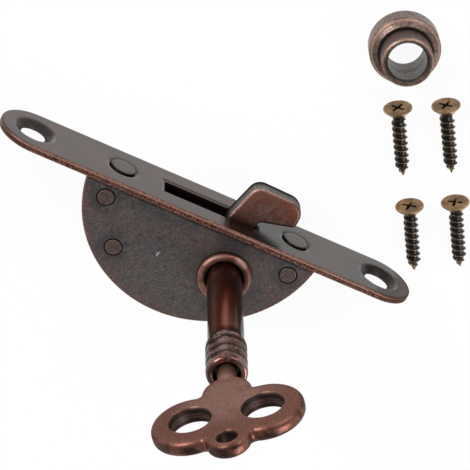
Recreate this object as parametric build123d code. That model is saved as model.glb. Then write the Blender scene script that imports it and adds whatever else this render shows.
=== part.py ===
"""Half-round lock with a swinging hook bolt, its pipe key, a keyhole collar and four screws.

Millimetres. Origin on the faceplate's back, midway between its screw holes. X runs
along the faceplate, +Y points out of its face, +Z is the way the key comes out. The
pieces are drawn from the centre of the faceplate's outer face, and moved at the end.
The lock lies on its back, and the loose collar and screws lie on the same surface.
"""

from build123d import *
from math import atan2, cos, degrees, radians, sin
import os

# Faceplate
plate_length = 90.0
plate_width = 14.5
plate_thick = 1.6
plate_edge_r = 0.35
screw_spacing = 75.8
screw_hole_r = 2.5
countersink_r = 4.3
countersink_depth = 1.3
slot_left, slot_right = -9.95, 10.35
slot_low, slot_high = -2.15, 2.4
stud_offset = 19.0
stud_r = 2.63
stud_ring_r = 3.15
stud_ring_depth = 0.35
stud_proud = 0.18

# Case
case_x, case_y = -0.9, 1.48
pan_r = 24.6
cap_r = 25.1
wall = 0.9
back_z = -plate_width / 2
floor_z = back_z + wall
cap_front_z = 6.2
cap_thick = 1.2
cap_back_z = cap_front_z - cap_thick
plate_back_y = -plate_thick
cap_edge_r = 0.35
pan_edge_r = 0.7

# Rivets through the case
rivet_spots = {
    "upper_left": (-20.5, -4.6),
    "lower_left": (-14.6, -14.0),
    "upper_right": (19.4, -4.8),
    "lower_right": (10.15, -17.65),
}
rivet_r = 1.2
rivet_head_r = 1.68
rivet_recess_r = 1.92
rivet_recess_depth = 0.45
rivet_proud = 0.15
rivet_back_r = 1.75
rivet_back_depth = 0.5
sleeve_r = 1.6

# Tenon blocks that join the faceplate to the case
block_spans = {"left": (-22.2, -16.2), "right": (16.0, 21.9)}
block_depth = 5.4
block_gap = 0.1

# Turning parts
key_x, key_y = 8.12, -10.5
key_swing = 92.0
hub_r = 4.7
hub_bottom = -5.5
hub_top = 4.4
socket_bottom = -2.0
socket_r = 3.56
hook_low, hook_high = -1.75, 2.05
hook_edge_r = 0.85
arm_left, arm_right = 3.85, 10.1
hook_heel_x, hook_heel_y = 6.15, 8.6
hook_nose_x, hook_nose_y = 17.25, 8.3
hook_chin = 3.15
hook_throat = 1.25
hook_corner_r = (3.0, 2.6, 3.4, 1.15, 1.0)
bush_r = 2.9
bush_top = -2.7
bush_flange_r = 4.4
bush_flange_top = -5.55
hub_bore_r = 2.95
drum_r = 4.6
drum_top = -2.1
drill_pin_r = 1.5
drill_pin_top = 3.4
lug_inner_r = 1.75
lug_width = 1.5
lug_top = -0.3

# Keyhole eyelet
eyelet_bore_r = 3.72
eyelet_tube_r = 4.3
eyelet_lip_r = 5.55
eyelet_lip_height = 1.35
washer_r = 5.6
washer_thick = 0.5

# Spring and stops
stop_r = 1.2
stop_gap = 0.08
spring_thick = 0.45
spring_low, spring_high = -5.4, -2.4
spring_gap = 0.02
spring_end_x = 9.5
stop_locked = (arm_right + stop_r + stop_gap, -4.2)
open_arm = (arm_left - key_x - stop_r - stop_gap, 9.0)
stop_open = (
    key_x + open_arm[0] * cos(radians(key_swing)) - open_arm[1] * sin(radians(key_swing)),
    key_y + open_arm[0] * sin(radians(key_swing)) + open_arm[1] * cos(radians(key_swing)),
)

# Key
barrel_r = 3.5
key_bore_r = 1.6
key_bore_top = 22.0
key_seat_gap = 0.05
mouth_slot_width = 1.75
mouth_slot_depth = 1.85
flare_low, flare_high = 31.4, 34.1
ring_low = 34.8
bead_grooves = (35.6, 38.5, 41.1)
bead_r = 3.97
bead_groove_r = 3.64
bead_shoulder = 0.4
rim_z, rim_r = 43.9, 3.25
cavity_r = 2.6
cavity_floor = 42.0
stem_r = 1.85
stem_socket = 38.0
bow_angle = 39.3
bow_thick = 3.3
bow_edge_r = 1.3
bow_corner_r = 0.9
head_z, head_r = 51.1, 4.7
lobe_offset, lobe_z, lobe_r = 6.62, 59.0, 7.4
lobe_hole_r = 3.68
foot_z, foot_r = 65.7, 4.1
foot_hole_z, foot_hole_r = 66.8, 1.7

# Keyhole collar, lying loose
collar_x, collar_y = 20.4, 44.8
collar_flange_r = 7.0
collar_neck_r = 5.05
collar_bore_r = 3.8
collar_flange_height = 5.0
collar_height = 9.9

# Wood screws, lying loose: each runs from its head to its tip on the surface
screw_length = 16.0
screw_head_r = 2.9
screw_head_rim = 0.25
screw_head_cone = 1.75
screw_thread_r = 1.55
screw_core_r = 1.15
screw_pitch = 1.4
screw_taper = 2.8
screw_places = (
    ((25.0, 33.2), (33.8, 19.4)),
    ((33.3, 37.8), (42.4, 24.0)),
    ((37.3, 15.1), (46.1, 1.2)),
    ((45.2, 19.8), (54.2, 5.9)),
)


def upright(x, y, low, high, radius):
    """A cylinder along Z from one height to another."""
    return Pos(x, y, (low + high) / 2) * Cylinder(radius, high - low)


def ring(x, y, low, high, outer, inner):
    """A tube along Z."""
    return upright(x, y, low, high, outer) - upright(x, y, low - 1, high + 1, inner)


def along_y(x, z, low, high, radius):
    """A cylinder along Y, for holes and studs in the faceplate."""
    return Pos(x, (low + high) / 2, z) * Rot(-90, 0, 0) * Cylinder(radius, high - low)


def cone_y(x, z, low, high, r_low, r_high):
    """A cone along Y, for countersinks in the faceplate."""
    return Pos(x, (low + high) / 2, z) * Rot(-90, 0, 0) * Cone(r_low, r_high, high - low)


def half_round(radius, low, high, top_y=plate_back_y):
    """The case outline: a disc cut straight along the faceplate's back."""
    disc = upright(case_x, case_y, low, high, radius)
    cut = Pos(case_x, top_y - 50, (low + high) / 2) * Box(100, 100, high - low + 2)
    return disc & cut


def make_faceplate():
    end_r = plate_width / 2
    plate = Pos(0, -plate_thick / 2, 0) * Box(plate_length - plate_width, plate_thick, plate_width)
    for side in (-1, 1):
        plate += along_y(side * (plate_length / 2 - end_r), 0, -plate_thick, 0, end_r)
    outer = plate.edges().filter_by(lambda e: abs(e.center().Y + plate_thick / 2) > plate_thick / 2 - 0.01)
    plate = fillet(outer, plate_edge_r)
    for side in (-1, 1):
        x = side * screw_spacing / 2
        plate -= along_y(x, 0, -plate_thick - 1, 1, screw_hole_r)
        plate -= cone_y(x, 0, -countersink_depth, 0, screw_hole_r, countersink_r)
        x = side * stud_offset
        plate -= along_y(x, 0, -plate_thick - 1, 1, stud_r)
        plate -= cone_y(x, 0, -stud_ring_depth, 0, stud_r, stud_ring_r)
    slot_x, slot_z = (slot_left + slot_right) / 2, (slot_low + slot_high) / 2
    slot = Box(slot_right - slot_left, plate_thick + 2, slot_high - slot_low)
    slot = fillet(slot.edges().filter_by(Axis.Y), 0.4)
    return plate - Pos(slot_x, -plate_thick / 2, slot_z) * slot


def make_back_pan():
    outer = half_round(pan_r, back_z, cap_back_z)
    outer = fillet(outer.faces().sort_by(Axis.Z)[0].edges().filter_by(GeomType.CIRCLE), pan_edge_r)
    pan = outer - half_round(pan_r - wall, floor_z, cap_back_z + 1, plate_back_y + 1)
    for x, y in rivet_spots.values():
        pan -= upright(x, y, back_z - 1, floor_z + 1, rivet_r)
        pan -= Pos(x, y, back_z + rivet_back_depth / 2) * Cone(rivet_back_r, rivet_r, rivet_back_depth)
    for x, y, radius in [(key_x, key_y, drill_pin_r), (*stop_locked, stop_r), (*stop_open, stop_r)]:
        pan -= upright(x, y, back_z - 1, floor_z + 1, radius)
    return pan


def make_cap_plate():
    cap = half_round(cap_r, cap_back_z, cap_front_z)
    cap = fillet(cap.faces().sort_by(Axis.Z)[-1].edges().filter_by(GeomType.CIRCLE), cap_edge_r)
    for x, y in rivet_spots.values():
        cap -= upright(x, y, cap_back_z - 1, cap_front_z + 1, rivet_r)
        cap -= upright(x, y, cap_front_z - rivet_recess_depth, cap_front_z + 1, rivet_recess_r)
    return cap - upright(key_x, key_y, cap_back_z - 1, cap_front_z + 1, eyelet_tube_r)


def make_rivet(x, y):
    head_low = cap_front_z - rivet_recess_depth
    head_high = cap_front_z + rivet_proud
    head = upright(x, y, head_low, head_high, rivet_head_r)
    head = fillet(head.edges().filter_by(GeomType.CIRCLE).sort_by(Axis.Z)[-1], 0.18)
    back = Pos(x, y, back_z + rivet_back_depth / 2) * Cone(rivet_back_r, rivet_r, rivet_back_depth)
    return upright(x, y, back_z, head_low, rivet_r) + back + head


def make_tenon_block(side, span, spot):
    x = (span[0] + span[1]) / 2
    block = Pos(x, plate_back_y - block_depth / 2, (floor_z + cap_back_z) / 2) * Box(
        span[1] - span[0], block_depth, cap_back_z - floor_z
    )
    block &= upright(case_x, case_y, floor_z, cap_back_z, pan_r - wall - block_gap)
    block -= upright(*spot, floor_z - 1, cap_back_z + 1, rivet_r)
    stud = along_y(side * stud_offset, 0, plate_back_y, stud_proud, stud_r)
    return block + fillet(stud.edges().sort_by(Axis.Y)[-1], 0.15)


def make_eyelet():
    tail = cap_back_z - washer_thick
    face = cap_front_z
    crown = face + eyelet_lip_height
    mid = (eyelet_bore_r + eyelet_lip_r) / 2
    half = (eyelet_lip_r - eyelet_bore_r) / 2
    outline = Polyline(
        (eyelet_bore_r, 0, crown - half), (eyelet_bore_r, 0, tail), (eyelet_tube_r, 0, tail),
        (eyelet_tube_r, 0, face), (eyelet_lip_r - 0.25, 0, face), (eyelet_lip_r, 0, crown - half),
    )
    roll = ThreePointArc(
        (eyelet_lip_r, 0, crown - half), (mid, 0, crown), (eyelet_bore_r, 0, crown - half)
    )
    return Pos(key_x, key_y, 0) * revolve(make_face(outline + roll), Axis.Z)


def make_hook_bolt():
    corners = [
        (arm_left, key_y), (arm_left, 0), (hook_heel_x, hook_heel_y), (hook_nose_x, hook_nose_y),
        (hook_nose_x, hook_chin), (arm_right, hook_throat), (arm_right, key_y),
    ]
    outline = FilletPolyline(*corners, radius=list(hook_corner_r))
    outline += Line(corners[-1], corners[0])
    plate = Pos(0, 0, hook_low) * extrude(make_face(outline), hook_high - hook_low)
    faces = plate.faces().sort_by(Axis.Z)
    rims = (faces[0].edges() + faces[-1].edges()).filter_by(lambda e: e.center().Y > key_y + 1)
    plate = fillet(rims, hook_edge_r)
    hub = upright(key_x, key_y, hub_bottom, hub_top, hub_r)
    hub -= ring(key_x, key_y, hub_bottom - 1, drum_top, hub_r + 2, drum_r)
    bolt = plate + fillet(hub.edges().filter_by(GeomType.CIRCLE).sort_by(Axis.Z)[-1], 0.3)
    bolt -= upright(key_x, key_y, hub_bottom - 1, bush_top + 0.1, hub_bore_r)
    bolt -= upright(key_x, key_y, socket_bottom, hub_top + 1, socket_r)
    bolt -= upright(key_x, key_y, hub_bottom - 1, hub_top + 1, lug_inner_r)
    lugs = Pos(key_x, key_y, (socket_bottom + lug_top) / 2) * Box(
        2 * socket_r + 0.4, lug_width, lug_top - socket_bottom
    )
    lugs -= upright(key_x, key_y, socket_bottom - 1, lug_top + 1, lug_inner_r)
    return bolt + lugs


def make_pivot_bush():
    bush = upright(key_x, key_y, floor_z, bush_flange_top, bush_flange_r)
    bush += upright(key_x, key_y, floor_z, bush_top, bush_r)
    return bush - upright(key_x, key_y, floor_z - 1, bush_top + 1, drill_pin_r)


def make_drill_pin():
    pin = upright(key_x, key_y, back_z, drill_pin_top, drill_pin_r)
    return fillet(pin.edges().filter_by(GeomType.CIRCLE).sort_by(Axis.Z)[-1], 0.6)


def make_drag_spring():
    """A leaf rolled round the open stop, its blade resting against the drum."""
    eye_x, eye_y = stop_open
    contact = key_y - drum_r - spring_gap
    top = [
        (eye_x, eye_y + stop_r + spring_thick), (eye_x + 4.6, contact - 0.04),
        (key_x, contact), (spring_end_x, contact - 0.35),
    ]
    under = [(x, y - spring_thick) for x, y in reversed(top)]
    blade = extrude(make_face(Polyline(*top, *under, close=True)), spring_high - spring_low)
    eye = ring(eye_x, eye_y, spring_low, spring_high, stop_r + spring_thick, stop_r)
    return Pos(0, 0, spring_low) * blade - upright(eye_x, eye_y, -9, 9, stop_r) + eye


def make_stop(spot):
    pin = upright(*spot, back_z, hook_high + 0.6, stop_r)
    return chamfer(pin.edges().filter_by(GeomType.CIRCLE).sort_by(Axis.Z)[-1], 0.2)


def make_key_barrel():
    mouth = socket_bottom + key_seat_gap
    edges = Polyline((0, 0, mouth), (barrel_r - 0.25, 0, mouth), (barrel_r, 0, mouth + 0.25),
                     (barrel_r, 0, flare_low))
    edges += ThreePointArc((barrel_r, 0, flare_low), (barrel_r + 0.14, 0, (flare_low + flare_high) / 2),
                           (bead_r - 0.05, 0, flare_high))
    edges += Polyline((bead_r - 0.05, 0, flare_high), (bead_r - 0.02, 0, ring_low - 0.2),
                      (bead_groove_r + 0.15, 0, ring_low))
    edges += ThreePointArc((bead_groove_r + 0.15, 0, ring_low), (bead_r, 0, (ring_low + bead_grooves[0]) / 2),
                           (bead_groove_r, 0, bead_grooves[0]))
    crest = bead_r - 0.12
    for low, top in zip(bead_grooves, bead_grooves[1:] + (rim_z,)):
        rise, fall = low + bead_shoulder, top - bead_shoulder
        edges += Line((bead_groove_r, 0, low), (crest, 0, rise))
        edges += ThreePointArc((crest, 0, rise), (bead_r, 0, (rise + fall) / 2), (crest, 0, fall))
        if top != rim_z:
            edges += Line((crest, 0, fall), (bead_groove_r, 0, top))
    edges += ThreePointArc((crest, 0, rim_z - bead_shoulder), (rim_r, 0, rim_z), (cavity_r, 0, rim_z - 0.25))
    edges += Polyline((cavity_r, 0, rim_z - 0.25), (cavity_r - 0.35, 0, cavity_floor), (0, 0, cavity_floor),
                      (0, 0, mouth))
    barrel = Pos(key_x, key_y, 0) * revolve(make_face(edges), Axis.Z)
    barrel -= upright(key_x, key_y, mouth - 1, key_bore_top, key_bore_r)
    barrel -= upright(key_x, key_y, stem_socket, cavity_floor + 1, stem_r)
    slot = Box(2 * barrel_r + 1, mouth_slot_width, 2 * mouth_slot_depth)
    return barrel - Pos(key_x, key_y, mouth) * slot


def make_key_bow():
    shape = Pos(0, (head_z + foot_z) / 2) * Rectangle(1.75 * foot_r, foot_z - head_z)
    shape += Pos(0, head_z) * Circle(head_r)
    shape += Pos(0, foot_z) * Circle(foot_r)
    for side in (-1, 1):
        shape += Pos(side * lobe_offset, lobe_z) * Circle(lobe_r)
    shape = offset(offset(shape, bow_corner_r, kind=Kind.INTERSECTION), -bow_corner_r)
    bow = extrude(shape, bow_thick / 2, both=True)
    bow = fillet(bow.edges().filter_by(lambda e: abs(e.center().Z) > bow_thick / 2 - 0.01), bow_edge_r)
    holes = [(-lobe_offset, lobe_z, lobe_hole_r), (lobe_offset, lobe_z, lobe_hole_r),
             (0, foot_hole_z, foot_hole_r)]
    for x, z, radius in holes:
        bow -= Pos(x, z, 0) * Cylinder(radius, bow_thick + 2)
        for side in (-1, 1):
            rim = Pos(x, z, side * (bow_thick / 2 - 0.2))
            bow -= rim * Rot(90 - 90 * side, 0, 0) * Cone(radius, radius + 0.4, 0.4)
    turned = Plane(
        origin=(key_x, key_y, 0), x_dir=(cos(radians(bow_angle)), sin(radians(bow_angle)), 0),
        z_dir=(sin(radians(bow_angle)), -cos(radians(bow_angle)), 0),
    )
    stem = upright(key_x, key_y, stem_socket, head_z - head_r + 0.2, stem_r)
    neck_low = head_z - head_r + 0.2
    neck = Pos(key_x, key_y, neck_low + 1.2) * Cone(stem_r, bow_thick / 2 - 0.1, 2.4)
    return turned * bow + stem + neck


def make_collar():
    shoulder = collar_flange_height
    outline = Polyline(
        (collar_bore_r, 0, 1.2), (collar_bore_r + 0.9, 0, 0), (collar_flange_r - 0.3, 0, 0),
        (collar_flange_r, 0, 0.3), (collar_flange_r, 0, shoulder - 1.3), (collar_flange_r - 0.7, 0, shoulder - 0.5),
        (collar_neck_r + 0.5, 0, shoulder), (collar_neck_r, 0, shoulder), (collar_neck_r, 0, collar_height - 0.35),
        (collar_neck_r - 0.35, 0, collar_height), (collar_bore_r + 0.55, 0, collar_height),
        (collar_bore_r, 0, collar_height - 0.9), close=True,
    )
    return Pos(collar_x, collar_y, back_z) * revolve(make_face(outline), Axis.Z)


def make_screw():
    """A screw standing on its tip's axis: head face at height 0, tip below."""
    neck = -screw_head_rim - screw_head_cone
    points = [(0, 0), (screw_head_r - 0.12, 0), (screw_head_r, -0.12), (screw_head_r, -screw_head_rim),
              (screw_core_r + 0.2, neck), (screw_core_r, neck - 0.25)]
    turns = int((screw_length + neck - 0.6) / screw_pitch)
    for turn in range(turns):
        root = neck - 0.25 - turn * screw_pitch
        for depth, radius in ((0.35, screw_core_r), (0.6, screw_thread_r), (0.95, screw_core_r)):
            z = root - depth * screw_pitch
            fade = min(1.0, (screw_length + z) / screw_taper)
            points.append((radius * fade, z))
    points += [(0.12, -screw_length + 0.1), (0, -screw_length)]
    screw = revolve(make_face(Polyline(*[(r, 0, z) for r, z in points], close=True)), Axis.Z)
    for turn in (0, 90):
        screw -= Rot(0, 0, turn) * Box(3.1, 0.7, 2.2)
    return screw


def lay_screw(head, tip):
    """Lay a screw on the surface, on the rim of its head and its last full thread."""
    dx, dy = tip[0] - head[0], tip[1] - head[1]
    run = screw_length - screw_taper - screw_head_rim
    tilt = degrees(atan2(screw_head_r - screw_thread_r, run))
    laid = Rot(0, 0, degrees(atan2(dy, dx))) * Rot(0, -90 + tilt, 0) * Rot(0, 0, 40) * make_screw()
    low = laid.bounding_box().min.Z
    return Pos(head[0], head[1], back_z - low) * laid


os.makedirs("parts", exist_ok=True)
pieces = {
    "faceplate": make_faceplate(),
    "back_pan": make_back_pan(),
    "cap_plate": make_cap_plate(),
    "keyhole_eyelet": make_eyelet(),
    "eyelet_washer": ring(key_x, key_y, cap_back_z - washer_thick, cap_back_z, washer_r, eyelet_tube_r),
    "tenon_block_left": make_tenon_block(-1, block_spans["left"], rivet_spots["upper_left"]),
    "tenon_block_right": make_tenon_block(1, block_spans["right"], rivet_spots["upper_right"]),
    "hook_bolt": make_hook_bolt(),
    "pivot_bush": make_pivot_bush(),
    "drill_pin": make_drill_pin(),
    "drag_spring": make_drag_spring(),
    "stop_locked": make_stop(stop_locked),
    "stop_open": make_stop(stop_open),
    "key_barrel": make_key_barrel(),
    "key_bow": make_key_bow(),
    "collar": make_collar(),
}
for name, (x, y) in rivet_spots.items():
    pieces["rivet_" + name] = make_rivet(x, y)
    if name.startswith("lower"):
        pieces["sleeve_" + name] = ring(x, y, floor_z, cap_back_z, sleeve_r, rivet_r)
for number, (head, tip) in enumerate(screw_places, start=1):
    pieces[f"screw_{number}"] = lay_screw(head, tip)

for name, piece in pieces.items():
    placed = Pos(0, plate_thick, 0) * piece
    export_step(placed, f"parts/{name}.step")
    box = placed.bounding_box()
    print(name, round(placed.volume, 2), [round(v, 2) for v in (*box.min, *box.max)])
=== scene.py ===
import math

import bmesh
import bpy
from mathutils import Matrix, Vector


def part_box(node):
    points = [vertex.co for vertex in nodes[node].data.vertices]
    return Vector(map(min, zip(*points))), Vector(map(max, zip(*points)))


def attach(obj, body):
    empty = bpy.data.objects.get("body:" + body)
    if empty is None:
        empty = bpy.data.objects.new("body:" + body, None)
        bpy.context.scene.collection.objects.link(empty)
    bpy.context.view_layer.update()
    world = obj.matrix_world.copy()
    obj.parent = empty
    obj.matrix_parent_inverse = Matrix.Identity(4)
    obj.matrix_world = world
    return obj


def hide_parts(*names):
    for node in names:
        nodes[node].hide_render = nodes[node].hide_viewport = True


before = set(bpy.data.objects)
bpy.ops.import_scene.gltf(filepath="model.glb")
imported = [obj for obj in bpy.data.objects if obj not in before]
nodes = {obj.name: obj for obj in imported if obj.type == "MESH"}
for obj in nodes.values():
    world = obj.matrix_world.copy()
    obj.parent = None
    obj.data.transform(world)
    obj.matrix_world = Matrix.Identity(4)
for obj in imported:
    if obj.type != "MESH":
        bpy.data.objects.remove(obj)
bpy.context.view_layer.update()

scene = bpy.context.scene

MM = 0.001


def span(node):
    """A node's lowest and highest corner, in millimetres."""
    low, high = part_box(node)
    return low / MM, high / MM


def middle(node):
    """The middle of a node's box, in millimetres."""
    low, high = span(node)
    return (low + high) / 2


# Places and sizes are in millimetres on the frame's own axes, unless they say otherwise

# Faceplate: a strip with round ends, its face turned to +Y
PLATE_LOW, PLATE_HIGH = span("faceplate")
FACE_Y = PLATE_HIGH.y
PLATE_HALF = PLATE_HIGH.z
PLATE_END_X = PLATE_HIGH.x - PLATE_HALF
FLOOR_Z = PLATE_LOW.z
BESIDE_HOOK_X = 15.0

# Its fine mesh: the grid, and the points that are pressed, which turn this much to +Y and
# lie this far inside the outline
PLATE_VOXEL = 0.172
FACE_TURN = 0.25
PRESS_INSET = 0.45

# Its screw holes, with dished countersinks
SCREW_HOLE_X = 37.9
SCREW_HOLE_R = 2.5
SCREW_HOLE_SIDE = 0.3
COUNTERSINK_R = 4.3
COUNTERSINK_DEPTH = 1.3
DISH_SOFT = 0.15
DISH_CURVE = 1.2

# The studs staked in it, each in a pressed ring with a shallow dimple round it
STUD_X = 19.0
STUD_R = 2.63
STUD_RING_R = 3.15
STUD_RING_DEPTH = 0.35
DIMPLE_DEEP = 0.12
DIMPLE_WIDE = 0.9

# Its slot, whose lip is drawn in, less and less towards the hook
SLOT_X = 0.2
SLOT_Z = 0.125
SLOT_HALF_LENGTH = 10.15
SLOT_HALF_WIDTH = 2.275
SLOT_FAR_Z = SLOT_Z - SLOT_HALF_WIDTH
DRAW_DEEP = 0.28
DRAW_WIDE = 0.75
DRAW_END_X = 9.0
DRAW_FADE = 5.0

# Case: a half-round box, its cover a little wider than the pan
CASE_AXIS = Vector((-0.9, 3.08, 0))
CAP_R = 25.1
CAP_FRONT_Z = span("cap_plate")[1].z
PAN_R = 24.6
NICK = Vector((-6.0, -10.0, 0))
RIVET_R = 1.68
RIVET_RECESS_R = 1.92
RIVET_WEAR = {"upper_left": 0.1, "lower_left": 0.3, "upper_right": 0.1, "lower_right": 0.1}
RIVETS = {name: middle("rivet_" + name) for name in RIVET_WEAR}
INNER_NODES = ("eyelet_washer", "sleeve_lower_left", "sleeve_lower_right", "pivot_bush", "drill_pin",
               "drag_spring", "stop_locked", "stop_open")

# Eyelet and the key that stands in it
EYELET = middle("keyhole_eyelet")
EYELET_LIP_R = 5.55
EYELET_BORE_R = 3.72
EYELET_GLINT = EYELET + Vector((1.4, 4.7, 0))
EYELET_PINK = EYELET + Vector((-3.4, 3.5, 0))
ABOVE_EYELET = EYELET + Vector((-1.0, 7.6, 0))
BEAD_START_Z = 33.2
BEAD_GROOVES_Z = (35.6, 38.5, 41.1)
RIM_Z = 43.9
BOW_ANGLE = math.radians(39.3)
LOBE_OFFSET = 6.62
LOBE_Z = 59.0
LOBE_HOLE_R = 3.68
FOOT_HOLE_Z = 66.8
FOOT_HOLE_R = 1.7

# The middle of the hook's front
HOOK_FACE = Vector((11.0, 5.2, 0))

# Loose collar, standing on its flange
COLLAR = middle("collar")
COLLAR_FLANGE_R = 7.0
COLLAR_BORE_R = 3.8
COLLAR_NECK_R = 5.05
COLLAR_SHOULDER_Z = FLOOR_Z + 5.0
COLLAR_TOP_Z = FLOOR_Z + 9.9

# Wood screws
SCREW_LENGTH = 16.0
SCREW_HEAD_R = 2.9
SCREW_RIM = 0.25
SCREW_CONE = 1.75
SCREW_THREAD_R = 1.55
SCREW_CORE_R = 1.1
SCREW_PITCH = 1.4
SCREW_TAPER = 2.8
SCREW_NECK = SCREW_RIM + SCREW_CONE
THREAD_START = SCREW_NECK + 0.25
THREAD_RUN_IN = 0.7
THREAD_RUN_OUT = 1.2
CORE_DRAFT = 0.07
CORE_CURVE = 0.9
CREST_CURVE = 0.6
SCREW_STEPS = 48
SHARP_ANGLE = math.radians(38)

# Points of a screw closer than these are one: where its skin closes, and after the recess is cut
SEAM = 0.0002
WELD = 0.004

# A screw's head from its middle outwards and down: radius and depth
HEAD_PROFILE = (
    (0.0, 0.0), (0.5, 0.0), (1.0, 0.0), (1.6, 0.0), (2.1, 0.0), (2.5, 0.0),
    (SCREW_HEAD_R - 0.16, 0.0), (SCREW_HEAD_R - 0.04, 0.04), (SCREW_HEAD_R, 0.14),
    (SCREW_HEAD_R, SCREW_RIM), (SCREW_HEAD_R - 0.1, SCREW_RIM + 0.1),
    (SCREW_CORE_R + 0.32, SCREW_NECK - 0.12), (SCREW_CORE_R + 0.1, SCREW_NECK + 0.05),
)

# One turn of the thread: how far down the pitch, and how high between core and crest
THREAD_PROFILE = (
    (0.0, 0.0), (0.2, 0.0), (0.32, 0.06), (0.42, 0.45), (0.485, 0.95),
    (0.515, 0.95), (0.58, 0.45), (0.68, 0.06), (0.8, 0.0),
)

# The cross recess from the head's face down: height, reach of a wing, and half its width,
# which is a little less at the wing's end
WING_END = 0.8
RECESS_RINGS = ((0.2, 1.62, 0.36), (-0.15, 1.5, 0.33), (-1.25, 0.62, 0.22))

# Where each screw's head and tip lie on the floor, and how far they are rolled, in degrees
SCREW_PLACES = (
    ((25.0, 34.8), (33.8, 21.0)),
    ((33.3, 39.4), (42.4, 25.6)),
    ((37.3, 16.7), (46.1, 2.8)),
    ((45.2, 21.4), (54.2, 7.5)),
)
FIRST_ROLL = 40
NEXT_ROLL = 97

# The photograph's camera: its own axes, its distance in metres, its lens and sensor in millimetres
CAMERA_RIGHT = Vector((0.9003, 0.4352, 0.0072))
CAMERA_UP = Vector((-0.3850, 0.8050, -0.4520))
CAMERA_DISTANCE = 0.4366
CAMERA_LENS = 168.1
CAMERA_SENSOR = 36.0
CAMERA_SHIFT = (0.0528, -0.0653)
CAMERA_CLIP = (0.01, 20.0)

# Soft boxes: name, place, what it points at and size in metres, and power in watts
LAMPS = (
    ("key", (-0.7, 0.25, 0.6), (0, 0, 0), 0.5, 5.5),
    ("fill", (0.1, 0.8, 0.5), (0, 0, 0.02), 0.6, 2.0),
    ("rim", (0.7, -0.1, 0.5), (0, 0, 0.02), 0.4, 2.5),
)

# Sky: white up to the low height, dimmed to this strength from the high one on
SKY_LOW = 0.08
SKY_HIGH = 0.7
SKY_DIM = 0.35

# Floor: half its side in metres, how white the camera and the metal see it, and how dull its paper is
FLOOR_REACH = 3
FLOOR_WHITE = 0.93
PAPER_ROUGHNESS = 0.9
PAPER_GLOSS = 0.1


def tint(red, green, blue):
    """A shader colour from the usual 0 to 255 scale."""
    def linear(value):
        value /= 255
        return value / 12.92 if value < 0.04 else ((value + 0.055) / 1.055) ** 2.4
    return (linear(red), linear(green), linear(blue), 1.0)


# Colours that are used in more than one place: a dark patina over red copper
WHITE = (1, 1, 1, 1)
# A dark colour for soot, and for painted shade in hollows, crevices, bores and under parts
SOOT_AND_SHADE = tint(34, 30, 30)
COPPER = tint(140, 86, 70)
PLATE_GREY = tint(87, 82, 80)
ROLLED_COPPER = tint(104, 82, 73)

# Unit of the surface's relief, and the gloss of the clear coat
MICROMETRE = 1e-6
COAT_ROUGHNESS = 0.12

# Sockets of a colour mix node, several of which share a name
MIX_FACTOR = 0
MIX_FIRST = 6
MIX_SECOND = 7
MIX_RESULT = 2


class Field:
    """A number at each point of a surface. Arithmetic on fields adds shader nodes."""

    def __init__(self, tree, socket):
        self.tree = tree
        self.socket = socket

    def math(self, operation, *others):
        node = self.tree.nodes.new("ShaderNodeMath")
        node.operation = operation
        for slot, value in zip(node.inputs, (self, *others)):
            feed(self.tree, value, slot)
        return Field(self.tree, node.outputs[0])

    def __add__(self, other):
        return self.math("ADD", other)

    def __sub__(self, other):
        return self.math("SUBTRACT", other)

    def __rsub__(self, number):
        return -self + number

    def __mul__(self, other):
        return self.math("MULTIPLY", other)

    def __abs__(self):
        return self.math("ABSOLUTE")

    def __neg__(self):
        return self.math("MULTIPLY", -1.0)

    def highest(self, other):
        return self.math("MAXIMUM", other)

    def lowest(self, other):
        return self.math("MINIMUM", other)

    def hypot(self, other):
        return (self * self + other * other).math("SQRT")

    def rise(self, start, end):
        """0 at start, 1 at end, smooth between; end may be the lower one."""
        node = self.tree.nodes.new("ShaderNodeMapRange")
        node.interpolation_type = "SMOOTHSTEP"
        feed(self.tree, self, node.inputs["Value"])
        node.inputs["From Min"].default_value = min(start, end)
        node.inputs["From Max"].default_value = max(start, end)
        result = Field(self.tree, node.outputs["Result"])
        return result if end > start else 1.0 - result

    def near(self, middle, width):
        """1 at the middle, 0 a width away from it."""
        return abs(self - middle).rise(width, 0.0)


def feed(tree, value, socket):
    """Link a field or a socket to an input, or set a plain number or colour on it."""
    if isinstance(value, Field):
        tree.links.new(value.socket, socket)
    elif isinstance(value, bpy.types.NodeSocket):
        tree.links.new(value, socket)
    else:
        socket.default_value = value


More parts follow.
